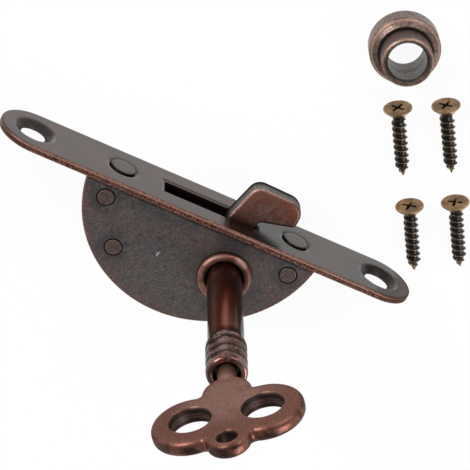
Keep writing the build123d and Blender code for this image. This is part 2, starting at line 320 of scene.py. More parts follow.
class Finish:
    """A metal's surface in the making: places are in millimetres on the frame's axes.

    A piece that is turned gives own_place, the attribute that holds its places before the
    turn. Grazing is how much of its reflection a surface keeps where it is seen edge on.
    """

    def __init__(self, name, metallic=0.8, coat=0.0, own_place=None, grazing=1.0):
        self.material = bpy.data.materials.new(name)
        self.material.use_nodes = True
        self.tree = self.material.node_tree
        self.metal = self.tree.nodes["Principled BSDF"]
        self.metal.inputs["Metallic"].default_value = metallic
        self.metal.inputs["Specular Tint"].default_value = (grazing, grazing, grazing, 1.0)
        self.metal.inputs["Coat Weight"].default_value = coat
        self.metal.inputs["Coat Roughness"].default_value = COAT_ROUGHNESS
        coordinate = self.tree.nodes.new("ShaderNodeTexCoord")
        if own_place:
            stored = self.tree.nodes.new("ShaderNodeAttribute")
            stored.attribute_name = own_place
            self.place = stored.outputs["Vector"]
        else:
            scale = self.tree.nodes.new("ShaderNodeVectorMath")
            scale.operation = "SCALE"
            scale.inputs["Scale"].default_value = 1 / MM
            self.tree.links.new(coordinate.outputs["Object"], scale.inputs[0])
            self.place = scale.outputs["Vector"]
        self.x, self.y, self.z = self.split(self.place)
        self.facing_x, self.facing_y, self.facing_z = self.split(coordinate.outputs["Normal"])

    def split(self, vector):
        """The three numbers of a vector."""
        node = self.tree.nodes.new("ShaderNodeSeparateXYZ")
        self.tree.links.new(vector, node.inputs[0])
        return [Field(self.tree, socket) for socket in node.outputs]

    def noise(self, size, detail=3.0, roughness=0.55, stretch=(1, 1, 1), shift=0.0, distortion=0.0):
        """Clouds with features of that size, around 0.5."""
        mapping = self.tree.nodes.new("ShaderNodeMapping")
        mapping.inputs["Location"].default_value = (shift, shift, shift)
        mapping.inputs["Scale"].default_value = [1 / (size * s) for s in stretch]
        self.tree.links.new(self.place, mapping.inputs["Vector"])
        node = self.tree.nodes.new("ShaderNodeTexNoise")
        node.inputs["Scale"].default_value = 1.0
        node.inputs["Detail"].default_value = detail
        node.inputs["Roughness"].default_value = roughness
        node.inputs["Distortion"].default_value = distortion
        self.tree.links.new(mapping.outputs[0], node.inputs["Vector"])
        return Field(self.tree, node.outputs["Fac"])

    def mix(self, factor, first, second):
        """The first colour where the factor is 0, the second where it is 1."""
        node = self.tree.nodes.new("ShaderNodeMix")
        node.data_type = "RGBA"
        feed(self.tree, factor, node.inputs[MIX_FACTOR])
        feed(self.tree, first, node.inputs[MIX_FIRST])
        feed(self.tree, second, node.inputs[MIX_SECOND])
        return node.outputs[MIX_RESULT]

    def from_axis(self, place):
        """Distance from the upright axis through a place."""
        return (self.x - place.x).hypot(self.y - place.y)

    def done(self, colour, roughness, height):
        """Drive the shader: height is the surface's relief in micrometres."""
        feed(self.tree, colour, self.metal.inputs["Base Color"])
        feed(self.tree, roughness, self.metal.inputs["Roughness"])
        bump = self.tree.nodes.new("ShaderNodeBump")
        bump.inputs["Distance"].default_value = MICROMETRE
        feed(self.tree, height, bump.inputs["Height"])
        self.tree.links.new(bump.outputs[0], self.metal.inputs["Normal"])
        return self.material


def faceplate_finish():
    """Smooth grey-brown faces with the hook's painted shadow and dark reflection, painted shade in the stud
    rings and the slot, dark patina with painted shade in the dishes, and rubbed copper along the sheared edge
    with painted highlight lines.
    """
    warm, cool, speck = tint(94, 82, 79), tint(79, 80, 78), tint(70, 64, 63)
    hook_shadow_far, hook_shadow_near, hook_foot_shade = tint(50, 36, 33), tint(74, 53, 47), tint(38, 28, 26)
    lip_highlight, lip_shade = tint(112, 92, 84), tint(46, 38, 36)
    dish_highlight, tip_pale = tint(140, 136, 128), tint(116, 109, 103)
    f = Finish("faceplate_finish", metallic=0.88)
    clouds = f.noise(9.0, 4.0, 0.55, distortion=0.4)
    grain = f.noise(0.35, 3.0, 0.7)
    rubbed = f.noise(1.1, 3.0, 0.7, shift=3.0).rise(0.4, 0.6)
    depth = FACE_Y - f.y
    past_end = (abs(f.x) - PLATE_END_X).highest(0.0)
    inset = PLATE_HALF - past_end.hypot(f.z)
    stud = (abs(f.x) - STUD_X).hypot(f.z)
    slot = (abs(f.x - SLOT_X) - SLOT_HALF_LENGTH).highest(abs(f.z - SLOT_Z) - SLOT_HALF_WIDTH)
    screw_hole = (abs(f.x) - SCREW_HOLE_X).hypot(f.z)

    # The face, cooler beside the hook
    colour = f.mix(clouds.rise(0.36, 0.66), PLATE_GREY, warm)
    beside_hook = (f.x - BESIDE_HOOK_X).hypot(f.z * 0.7).rise(9.0, 3.0)
    cool_clouds = f.noise(12.0, 3.0, shift=17.0).rise(0.5, 0.66) * 0.7
    colour = f.mix(cool_clouds.highest(beside_hook), colour, cool)
    colour = f.mix(grain.rise(0.5, 0.75) * 0.35, colour, speck)
    colour = f.mix(f.x.rise(17.0, 24.0) * 0.1, colour, SOOT_AND_SHADE)

    # The hook's painted shadow and dark reflection on the face, from the slot to the strip's front edge
    stain = f.x.rise(1.6, 3.4) * (f.x - f.z * 0.8).rise(11.0, 5.5) * f.z.rise(1.2, 2.2)
    colour = f.mix(stain * 0.8, colour, f.mix(f.z.rise(3.5, 6.5), hook_shadow_far, hook_shadow_near))

    # The strip's rolled and sheared edge
    sheared = inset.rise(0.3, 0.06).highest(depth.rise(0.2, 0.28) * inset.rise(0.6, 0.4))
    colour = f.mix(inset.rise(0.55, 0.2) * 0.6, colour, ROLLED_COPPER)
    colour = f.mix(sheared, colour, edge_colour(f, depth))

    # The slot's far lip, a painted highlight and then a line of painted shade, and painted shade on the metal
    # at the hook's foot
    far_side = f.z.rise(SLOT_FAR_Z + 0.6, SLOT_FAR_Z)
    colour = f.mix(slot.rise(0.3, 0.08) * far_side * 0.6, colour, lip_highlight)
    colour = f.mix(slot.near(0.42, 0.25) * far_side * 0.85, colour, lip_shade)
    foot = f.x.rise(2.0, 3.5) * f.z.rise(0.0, 1.0) * slot.rise(0.7, 0.35)
    colour = f.mix(foot * 0.95, colour, hook_foot_shade)

    # Painted shade in the stud rings and the slot, and dark patina with painted shade in the dishes, least on
    # the low side of each dish, where a painted highlight lies on the dish's rim
    hollow_shade_and_patina = stud.rise(STUD_RING_R + 0.25, STUD_RING_R - 0.25)
    hollow_shade_and_patina = hollow_shade_and_patina.highest(slot.rise(0.12, 0.0) * depth.rise(0.3, 0.7))
    dish = screw_hole.rise(COUNTERSINK_R + 0.1, COUNTERSINK_R - 0.4)
    right_of_hole = (abs(f.x) - SCREW_HOLE_X) * f.x.math("SIGN")
    low_side = (right_of_hole * 0.8 + f.z * 0.6).rise(1.6, 3.8)
    dish_patina_and_shade = dish * (grain.rise(0.65, 0.42) * 0.35 + 0.6) * (1.0 - low_side * 0.6)
    hollow_shade_and_patina = hollow_shade_and_patina.highest(dish_patina_and_shade)
    colour = f.mix(hollow_shade_and_patina * 0.9, colour, SOOT_AND_SHADE)
    colour = f.mix(screw_hole.near(COUNTERSINK_R - 0.2, 0.6) * low_side * 0.5, colour, dish_highlight)
    colour = f.mix(screw_hole.near(SCREW_HOLE_R + 0.1, 0.25) * rubbed * 0.4, colour, warm)

    # A lighter, duller patch at the right end
    tip = f.x.rise(40.8, 42.6).highest(f.x.rise(36.0, 39.0) * f.z.rise(2.0, 4.0))
    colour = f.mix(tip * inset.rise(0.4, 0.8) * (1.0 - hollow_shade_and_patina) * 0.5, colour, tip_pale)
    roughness = grain * 0.08 + clouds * 0.1 + dish * 0.15 + foot * 0.5
    roughness = roughness + inset.rise(0.5, 0.1) * 0.2 + tip * 0.35 + 0.12
    return f.done(colour, roughness, grain * 4.0 + clouds * 30.0)


def edge_colour(f, depth):
    """The sheared edge from the face back: a painted highlight line, speckled copper, a second paler painted
    highlight line, and painted shade where it meets the case.

    The highlight lines are strongest along the strip, and the edge is dark round its two ends.
    """
    deep, brown, bright = tint(74, 48, 42), tint(124, 92, 84), tint(196, 160, 146)
    end_dark, front_highlight_line, back_highlight_line = tint(66, 45, 40), tint(212, 172, 156), tint(170, 136, 122)
    dashes = f.noise(0.34, 3.0, 0.6)
    copper = f.mix(dashes.rise(0.45, 0.55), deep, COPPER)
    copper = f.mix(f.noise(4.0, 3.0, shift=11.0).rise(0.45, 0.65) * 0.5, copper, brown)
    copper = f.mix(dashes.rise(0.56, 0.64) * 0.4, copper, bright)
    broken = f.noise(1.6, 3.0, 0.7, shift=3.0).rise(0.3, 0.5) * 0.4 + 0.6
    along_strip = f.x.rise(-42.0, -37.0) * f.x.rise(42.5, 34.0)
    copper = f.mix((1.0 - along_strip) * 0.8, copper, end_dark)
    copper = f.mix(depth.near(0.4, 0.19) * broken * (along_strip * 0.8 + 0.2), copper, front_highlight_line)
    copper = f.mix(depth.rise(0.16, 0.06) * 0.5, copper, ROLLED_COPPER)
    copper = f.mix(depth.near(1.28, 0.2) * dashes.rise(0.42, 0.52) * 0.5, copper, back_highlight_line)
    # Painted shade at the back of the edge, where it meets the case
    return f.mix(depth.rise(1.4, 1.56) * 0.85, copper, SOOT_AND_SHADE)


def case_colour(f):
    """Mottled patina: grey with bluish and brown clouds under a fine pale and dark speckle."""
    grey, blue, brown = tint(106, 98, 96), tint(94, 96, 98), tint(116, 96, 91)
    dark_speckle, pale_speckle = tint(58, 52, 53), tint(136, 126, 125)
    dark_fleck, pale_fleck = tint(54, 50, 51), tint(146, 136, 132)
    clouds = f.noise(5.0, 5.0, 0.65, distortion=0.6)
    brown_clouds = f.noise(7.0, 5.0, 0.68, shift=31.0, distortion=0.6)
    speckle = f.noise(1.5, 5.0, 0.72, distortion=0.3)
    fine = f.noise(0.42, 3.0, 0.7, shift=7.0)
    colour = f.mix(clouds.rise(0.4, 0.66) * 0.7, grey, blue)
    colour = f.mix(brown_clouds.rise(0.42, 0.68) * 0.75, colour, brown)
    colour = f.mix(speckle.rise(0.5, 0.68) * 0.42, colour, dark_speckle)
    colour = f.mix(speckle.rise(0.46, 0.32) * 0.34, colour, pale_speckle)
    colour = f.mix(fine.rise(0.5, 0.64) * 0.38, colour, dark_fleck)
    return f.mix(fine.rise(0.48, 0.36) * 0.4, colour, pale_fleck), speckle


def cap_finish():
    """The case's cover: fine mottling, a rubbed rim, painted shade round the rivets and the eyelet and under
    the faceplate's edge, and a painted dark reflection above the eyelet.
    """
    blue_dark, bronze_dark, dark_reflection_colour = tint(66, 68, 70), tint(84, 74, 74), tint(58, 52, 55)
    crevice_shade_colour, rim_copper, nick_bright = tint(40, 32, 31), tint(126, 86, 78), tint(206, 198, 196)
    f = Finish("cap_finish", metallic=0.8)
    colour, speckle = case_colour(f)
    grain = f.noise(0.3, 3.0, 0.65)
    stain = f.noise(2.5, 4.0, 0.7, shift=13.0).rise(0.35, 0.6)

    # Bluish by the faceplate and the rivets, darker round the eyelet, and a painted dark reflection above it
    from_rivets = [f.from_axis(place) for place in RIVETS.values()]
    bluish = f.y.rise(-4.5, -1.0) * 0.5
    for radius in from_rivets:
        bluish = bluish.highest(radius.rise(4.4, 2.2) * 0.7)
    colour = f.mix(bluish * stain, colour, blue_dark)
    colour = f.mix(f.from_axis(EYELET).rise(10.0, 6.0) * stain * 0.35, colour, bronze_dark)
    dark_reflection = f.from_axis(ABOVE_EYELET).rise(5.5, 1.5)
    colour = f.mix(dark_reflection * 0.45, colour, dark_reflection_colour)

    # Painted shade in the crevices round the eyelet and the rivets, and a painted shadow under the
    # faceplate's edge
    crevice_shade = f.from_axis(EYELET).rise(EYELET_LIP_R + 0.12, EYELET_LIP_R - 0.1)
    for radius in from_rivets:
        crevice_shade = crevice_shade.highest(radius.rise(RIVET_RECESS_R + 0.13, RIVET_RECESS_R - 0.07) * 0.8)
    crevice_shade = crevice_shade.highest(f.y.rise(-0.95, -0.45) * (stain * 0.4 + 0.6))
    colour = f.mix(crevice_shade * 0.85, colour, crevice_shade_colour)

    # The rubbed rim, and one bright nick
    inset = CAP_R - f.from_axis(CASE_AXIS)
    wear = inset.rise(2.2, 0.3) * f.noise(1.6, 5.0, 0.75).rise(0.4, 0.66) * 0.7
    wear = wear.highest(inset.rise(0.42, 0.2))
    colour = f.mix(wear * 0.8, colour, rim_copper)
    nick_x, nick_y = f.x - NICK.x, f.y - NICK.y
    along = nick_x * 0.2 + nick_y * 0.98
    across = nick_y * 0.2 - nick_x * 0.98
    nick = (along * 0.45).hypot(across * 1.4)
    colour = f.mix(nick.rise(0.36, 0.14), colour, nick_bright)
    return f.done(colour, speckle * 0.25 + 0.3, grain * 8.0 + speckle * 14.0)


def pan_finish():
    """The case's box, of the same sheet as its cover, rubbed along its low corner."""
    f = Finish("pan_finish", metallic=0.8)
    colour, speckle = case_colour(f)
    inset = PAN_R - f.from_axis(CASE_AXIS)
    low_edge = inset.rise(0.9, 0.1) * f.z.near(FLOOR_Z + 0.35, 0.6)
    colour = f.mix(low_edge * f.noise(1.4, 3.0, 0.7).rise(0.35, 0.6) * 0.8, colour, COPPER)
    return f.done(colour, speckle * 0.25 + 0.32, speckle * 14.0 + f.noise(0.3) * 8.0)


def rivet_finish(name, place, rubbed):
    """A flush rivet: pitted brown face, painted shade round its edge, copper where it is rubbed."""
    pale, dark, pit = tint(122, 102, 97), tint(84, 71, 68), tint(60, 52, 50)
    patch_copper, rim_copper = tint(132, 92, 76), tint(128, 98, 88)
    f = Finish("rivet_finish_" + name, metallic=0.8)
    speckle = f.noise(0.5, 4.0, 0.7, shift=place.x)
    fine = f.noise(0.3, 3.0, 0.7, shift=place.y)
    colour = f.mix(speckle.rise(0.38, 0.62), pale, dark)
    patch = f.noise(1.6, 3.0, shift=place.y).rise(0.8 - rubbed, 1.0 - rubbed)
    colour = f.mix(patch * 0.7, colour, patch_copper)
    colour = f.mix(fine.rise(0.5, 0.64) * 0.45, colour, pit)
    radius = f.from_axis(place)
    colour = f.mix(radius.near(RIVET_R - 0.26, 0.2) * speckle.rise(0.4, 0.6) * 0.5, colour, rim_copper)
    # Painted shade round the rivet's edge, where it meets its recess
    colour = f.mix(radius.rise(RIVET_R - 0.1, RIVET_R + 0.02) * 0.8, colour, SOOT_AND_SHADE)
    return f.done(colour, speckle * 0.2 + 0.32, speckle * 22.0 + fine * 10.0)


def stud_finish():
    """Tenon ends riveted over in the faceplate, with painted shade round their edges."""
    f = Finish("stud_finish", metallic=0.85)
    speckle = f.noise(0.45, 3.0, 0.65)
    colour = f.mix(speckle.rise(0.34, 0.68), PLATE_GREY, tint(92, 82, 79))
    radius = (abs(f.x) - STUD_X).hypot(f.z)
    # Painted shade round the stud's edge, in its ring
    colour = f.mix(radius.rise(STUD_R - 0.33, STUD_R - 0.05) * 0.85, colour, SOOT_AND_SHADE)
    dome = radius.rise(STUD_R + 0.07, STUD_R - 0.83)
    return f.done(colour, speckle * 0.2 + 0.24, speckle * 10.0 + dome * 70.0)


def eyelet_finish():
    """Rolled copper ring in pale and red clouds, with painted shade at the top and on the right, a painted
    highlight at the upper right, a pink painted tone over the highlight at the left, and painted shade at its
    foot and in its bore.
    """
    pale, red, top_shade_red = tint(166, 124, 112), tint(132, 90, 78), tint(104, 62, 50)
    right_shade_dark, glint, left_highlight_tone = tint(86, 58, 52), tint(206, 166, 156), tint(146, 114, 105)
    speck, foot_shade_brown = tint(84, 58, 51), tint(72, 48, 42)
    f = Finish("eyelet_finish", metallic=0.9)
    radius = f.from_axis(EYELET)
    smear = f.noise(1.3, 4.0, 0.6)
    fine = f.noise(0.35, 3.0, 0.7)
    colour = f.mix(smear.rise(0.38, 0.62), pale, red)
    # Painted shade at the top and on the right
    top = (f.y - EYELET.y).rise(1.5, 4.5)
    colour = f.mix(top * 0.75, colour, top_shade_red)
    right = ((f.x - EYELET.x) * 0.9 + (f.y - EYELET.y) * 0.25).rise(2.4, 4.6)
    colour = f.mix(right * 0.6, colour, right_shade_dark)
    # A painted highlight at the upper right, and a pink painted tone over the highlight at the left
    bright = f.from_axis(EYELET_GLINT).rise(2.0, 0.5)
    colour = f.mix(bright * 0.7, colour, glint)
    left = f.from_axis(EYELET_PINK).rise(2.6, 1.0)
    colour = f.mix(left * 0.5, colour, left_highlight_tone)
    colour = f.mix(fine.rise(0.5, 0.7) * 0.35, colour, speck)
    # Painted shade at its foot, round the lip and in its bore
    low = f.z.rise(CAP_FRONT_Z + 0.9, CAP_FRONT_Z + 0.5)
    colour = f.mix(low * radius.rise(EYELET_LIP_R - 0.35, EYELET_LIP_R - 0.05) * 0.7, colour, foot_shade_brown)
    foot = f.z.rise(CAP_FRONT_Z + 0.4, CAP_FRONT_Z + 0.05)
    crevice_shade = radius.rise(EYELET_BORE_R + 0.23, EYELET_BORE_R).highest(foot)
    colour = f.mix(crevice_shade * 0.9, colour, SOOT_AND_SHADE)
    return f.done(colour, smear * 0.2 + right * 0.15 + left * 0.1 + 0.28, smear * 14.0 + fine * 8.0)


def hook_finish():
    """Mottled copper on the front, its rolled edge with a painted highlight on the left and painted shade
    elsewhere; grey sides with painted shade towards the back, and painted shade under the nose and by the
    faceplate.
    """
    pale, dull, red = tint(140, 98, 84), tint(96, 74, 68), tint(112, 62, 49)
    patch_brown, rubbed_red, low_dark = tint(124, 100, 92), tint(144, 88, 70), tint(72, 50, 46)
    dark_fleck, pale_fleck = tint(66, 48, 44), tint(172, 132, 116)
    side_pale, side_shade_dark = tint(130, 124, 120), tint(40, 38, 46)
    edge_highlight, edge_shade = tint(190, 166, 158), tint(70, 49, 44)
    f = Finish("hook_finish", metallic=0.85, grazing=0.3)
    speckle = f.noise(0.5, 4.0, 0.75)
    blotch = f.noise(1.3, 4.0, 0.7, shift=5.0)
    fine = f.noise(0.32, 3.0, 0.7, shift=2.0)

    # The front
    front = f.mix(speckle.rise(0.42, 0.58), pale, dull)
    front = f.mix(blotch.rise(0.46, 0.58) * 0.75, front, red)
    patch = f.noise(3.2, 2.0, 0.5, shift=13.0).rise(0.44, 0.56)
    front = f.mix(patch * 0.75, front, patch_brown)
    rubbed = (f.x - HOOK_FACE.x).hypot((f.y - HOOK_FACE.y) * 1.5).rise(1.5, 7.0)
    front = f.mix(rubbed * 0.5, front, rubbed_red)
    low = (f.y * 0.92 - f.x * 0.2).rise(4.2, 1.4)
    front = f.mix(low * 0.35, front, low_dark)
    front = f.mix(fine.rise(0.52, 0.66) * 0.45, front, dark_fleck)
    front = f.mix(fine.rise(0.46, 0.34) * 0.35, front, pale_fleck)

    # The sides, with painted shade darker towards the back, and the edge between them and the front
    side = f.mix(f.z.rise(0.9, -0.7), side_pale, side_shade_dark)
    side = f.mix(speckle.rise(0.45, 0.62) * 0.5, side, SOOT_AND_SHADE)
    rolled = f.facing_z + (speckle - 0.5) * 0.7
    edge = rolled.near(0.72, 0.25)
    # A painted highlight along the rolled edge on the left, and painted shade along it elsewhere
    left = (f.facing_x - f.facing_y * 0.3).rise(0.0, -0.3)
    front = f.mix(edge * left * 0.45, front, edge_highlight)
    front = f.mix(edge * (1.0 - left) * 0.8, front, edge_shade)
    colour = f.mix(rolled.rise(0.4, 0.86), side, front)
    # Painted shade under the nose and where the hook meets the faceplate
    colour = f.mix(f.facing_y.rise(-0.2, -0.6) * 0.8, colour, SOOT_AND_SHADE)
    colour = f.mix(f.y.rise(FACE_Y + 1.4, FACE_Y) * 0.6, colour, SOOT_AND_SHADE)
    return f.done(colour, speckle * 0.25 + 0.3, speckle * 26.0 + blotch * 24.0 + fine * 10.0)


def barrel_finish():
    """Glossy dark red lacquered copper with painted shade at its sides, painted highlight bands and a painted
    shadow by the eyelet; brown beads with a painted highlight and painted shade in their grooves; a rubbed
    rim with painted glints.
    """
    red, dark, left_highlight_band = tint(102, 42, 27), tint(76, 41, 31), tint(144, 98, 84)
    middle_highlight_band, right_shade_dark, smear_dark = tint(138, 92, 76), tint(72, 46, 38), tint(58, 38, 32)
    low_dark, groove_shade = tint(52, 36, 30), tint(44, 30, 28)
    bead_pale, bead_dark, bead_red = tint(118, 92, 84), tint(62, 45, 41), tint(104, 68, 62)
    bead_highlight, rim_brown, rim_red = tint(146, 124, 114), tint(80, 58, 54), tint(106, 58, 48)
    rim_side_glint, rim_fleck = tint(150, 122, 114), tint(168, 140, 132)
    f = Finish("barrel_finish", metallic=0.85, coat=0.1, grazing=0.6)
    streaks = f.noise(1.8, 3.0, 0.55, stretch=(1, 1, 12))
    smear = f.noise(1.6, 3.0, 0.5, shift=9.0, stretch=(1, 1, 3))
    speckle = f.noise(0.6, 4.0, 0.7)
    side = (f.x - EYELET.x) * 0.9 + (f.y - EYELET.y) * 0.435

    # The plain barrel: painted shade darkens its sides, painted highlight bands run down its left and its
    # middle, darker smears and streaks lie over it, and a painted shadow darkens it towards the eyelet
    dull = abs(side + 0.2).rise(0.9, 1.9).highest(streaks.rise(0.5, 0.62) * 0.6)
    colour = f.mix(dull, red, dark)
    colour = f.mix(side.near(-2.3, 1.0) * 0.8, colour, left_highlight_band)
    colour = f.mix(side.near(-0.1, 0.9) * f.z.rise(19.0, 30.0) * 0.65, colour, middle_highlight_band)
    colour = f.mix(side.rise(1.4, 2.6) * 0.6, colour, right_shade_dark)
    colour = f.mix(smear.rise(0.5, 0.7) * 0.35, colour, smear_dark)
    colour = f.mix(f.z.rise(24.0, 9.0) * 0.6, colour, low_dark)

    # The beads, with a painted highlight down their front
    bead = f.mix(speckle.rise(0.42, 0.56), bead_pale, bead_dark)
    bead = f.mix(f.noise(2.6, 3.0, shift=21.0).rise(0.48, 0.62) * 0.6, bead, bead_red)
    bead = f.mix(side.near(-0.7, 1.5) * 0.5, bead, bead_highlight)
    beads = f.z.rise(BEAD_START_Z, BEAD_START_Z + 1.0)
    colour = f.mix(beads, colour, bead)

    # The rim round the mouth that the bow's stem goes into, with painted glints on its sides, then painted
    # shade in the grooves and the mouth
    rim = f.z.rise(RIM_Z - 2.0, RIM_Z - 1.2)
    far = (f.y - EYELET.y).rise(-1.5, 2.5)
    rim_colour = f.mix(far * smear.rise(0.62, 0.42), rim_brown, rim_red)
    rim_colour = f.mix(abs(side).rise(1.0, 2.6) * far * 0.6, rim_colour, rim_side_glint)
    rim_colour = f.mix(speckle.rise(0.52, 0.64) * 0.5, rim_colour, rim_fleck)
    colour = f.mix(rim * 0.9, colour, rim_colour)
    groove = f.z.near(BEAD_GROOVES_Z[0], 0.6)
    for level in BEAD_GROOVES_Z[1:]:
        groove = groove.highest(f.z.near(level, 0.6))
    colour = f.mix(groove * 0.9, colour, groove_shade)
    mouth = f.from_axis(EYELET).rise(2.8, 2.5) * f.z.rise(40.0, 41.0)
    colour = f.mix(mouth * 0.9, colour, SOOT_AND_SHADE)
    roughness = smear * 0.12 - rim * 0.06 - beads * 0.03 + 0.2
    return f.done(colour, roughness, beads * speckle * 14.0 + smear * 14.0)


def bow_finish():
    """Matte copper face, glossier rolled rim, hole walls painted dark as shade with a paler casting line,
    painted highlights round the holes, and painted light on the stem.
    """
    face_pale, face_red, cloud_red = tint(142, 109, 98), tint(109, 71, 60), tint(102, 66, 56)
    speck, pale_fleck = tint(84, 60, 54), tint(172, 138, 124)
    rim_red, rim_dark, rim_speck = tint(122, 80, 68), tint(66, 46, 41), tint(52, 36, 32)
    wall, casting_pale = tint(46, 33, 30), tint(96, 74, 68)
    hole_edge_highlight, stem_painted_light = tint(160, 116, 98), tint(146, 110, 94)
    bow_cos, bow_sin = math.cos(BOW_ANGLE), math.sin(BOW_ANGLE)
    f = Finish("bow_finish", metallic=0.8, grazing=0.5)
    from_x, from_y = f.x - EYELET.x, f.y - EYELET.y
    across = from_x * bow_cos + from_y * bow_sin
    through = from_x * bow_sin - from_y * bow_cos
    facing = abs(f.facing_y * bow_cos - f.facing_x * bow_sin)
    speckle = f.noise(0.45, 4.0, 0.7)
    fine = f.noise(0.32, 3.0, 0.7, shift=4.0)
    clouds = f.noise(4.0, 4.0, 0.65)
    patches = f.noise(2.6, 3.0, 0.6, shift=7.0, stretch=(1.4, 1.4, 1))
    wall_mottle = f.noise(0.7, 4.0, 0.7, shift=2.0)

    # The flat face, paler in its middle, and the rolled rim
    centre = (abs(across) * 0.8).hypot(f.z - (LOBE_Z - 4.6)).rise(10.0, 3.5)
    face = f.mix(centre * 0.75 + clouds.rise(0.45, 0.7) * 0.25, face_red, face_pale)
    face = f.mix(clouds.rise(0.48, 0.62) * 0.5, face, cloud_red)
    face = f.mix(speckle.rise(0.5, 0.66) * 0.45, face, speck)
    face = f.mix(fine.rise(0.47, 0.36) * 0.3, face, pale_fleck)
    rim = f.mix(patches.rise(0.4, 0.6), rim_red, rim_dark)
    rim = f.mix(speckle.rise(0.5, 0.66) * 0.35, rim, rim_speck)
    colour = f.mix((facing + (speckle - 0.5) * 0.35).rise(0.4, 0.97), rim, face)

    # The walls of the three holes, painted dark as shade in mottled blotches; the two large ones show the
    # casting line. A painted highlight lies round the holes' edges
    lobe = (abs(across) - LOBE_OFFSET).hypot(f.z - LOBE_Z) - LOBE_HOLE_R
    foot_hole = across.hypot(f.z - FOOT_HOLE_Z) - FOOT_HOLE_R
    hole = lobe.lowest(foot_hole)
    casting = abs(through + (wall_mottle - 0.5) * 0.8).near(0.3, 0.4) * foot_hole.rise(0.6, 1.0)
    wall_colour = f.mix(casting * 0.6, wall, casting_pale)
    wall_colour = f.mix(wall_mottle.rise(0.5, 0.7) * 0.6, wall_colour, SOOT_AND_SHADE)
    colour = f.mix(hole.rise(0.4, 0.12), colour, wall_colour)
    colour = f.mix(hole.near(0.5, 0.25) * patches.rise(0.45, 0.55) * 0.35, colour, hole_edge_highlight)
    # Painted light on the stem inside the rim, which lies in the rim's shade
    stem = f.z.rise(49.0, 47.0)
    colour = f.mix(stem * 0.7, colour, stem_painted_light)
    roughness = facing.rise(0.6, 0.98) * 0.1 + speckle * 0.18 + hole.rise(0.3, 0.0) * 0.15 + 0.24
    return f.done(colour, roughness, speckle * 10.0 + clouds * 25.0)


def collar_finish():
    """Bronze-brown turned collar: speckled, with bright rubbed edges, turning marks and painted shade where
    the neck meets the shoulder.
    """
    bronze, grey, pit, fleck = tint(126, 100, 88), tint(98, 88, 84), tint(52, 42, 40), tint(70, 54, 50)
    neck_dark, glint, edge_bright = tint(72, 56, 52), tint(186, 152, 134), tint(186, 150, 132)
    bore_pale, bore_dark = tint(98, 95, 91), tint(62, 58, 56)
    f = Finish("collar_finish", metallic=0.8)
    radius = f.from_axis(COLLAR)
    speckle = f.noise(0.42, 4.0, 0.75)
    pits = f.noise(0.8, 4.0, 0.75, shift=5.0)
    glints = f.noise(0.4, 3.0, 0.7, shift=14.0)
    colour = f.mix(speckle.rise(0.42, 0.58), bronze, grey)
    colour = f.mix(pits.rise(0.48, 0.62) * 0.75, colour, pit)
    colour = f.mix(f.noise(0.3, 3.0, 0.7, shift=8.0).rise(0.52, 0.68) * 0.5, colour, fleck)
    above_shoulder = f.z.rise(COLLAR_SHOULDER_Z - 0.3, COLLAR_SHOULDER_Z)
    below_top = f.z.rise(COLLAR_TOP_Z - 0.4, COLLAR_TOP_Z - 1.0)
    neck = radius.rise(COLLAR_NECK_R + 0.5, COLLAR_NECK_R + 0.1) * above_shoulder
    colour = f.mix(neck * below_top * 0.55, colour, neck_dark)
    colour = f.mix(glints.rise(0.46, 0.34) * 0.5, colour, glint)
    bore = radius.rise(COLLAR_BORE_R + 0.5, COLLAR_BORE_R + 0.1)
    bore_colour = f.mix(pits.rise(0.42, 0.6) * 0.6, bore_pale, bore_dark)
    colour = f.mix(bore * 0.9, colour, bore_colour)
    # Painted shade where the neck meets the shoulder
    crevice_shade = radius.rise(COLLAR_NECK_R + 0.7, COLLAR_NECK_R + 0.05) * f.z.near(COLLAR_SHOULDER_Z, 1.0)
    colour = f.mix(crevice_shade * 0.85, colour, SOOT_AND_SHADE)
    edge = f.z.near(COLLAR_TOP_Z - 0.15, 0.35) * radius.near(COLLAR_NECK_R - 0.2, 0.35)
    flange_edge = radius.near(COLLAR_FLANGE_R - 0.35, 0.4) * f.z.near(COLLAR_SHOULDER_Z - 0.8, 0.7)
    colour = f.mix(edge.highest(flange_edge) * speckle.rise(0.34, 0.56) * 0.8, colour, edge_bright)
    turning = (f.z * 9.0).math("SINE") * bore * 18.0
    return f.done(colour, speckle * 0.25 + 0.24, speckle * 26.0 + pits * 20.0 + turning)


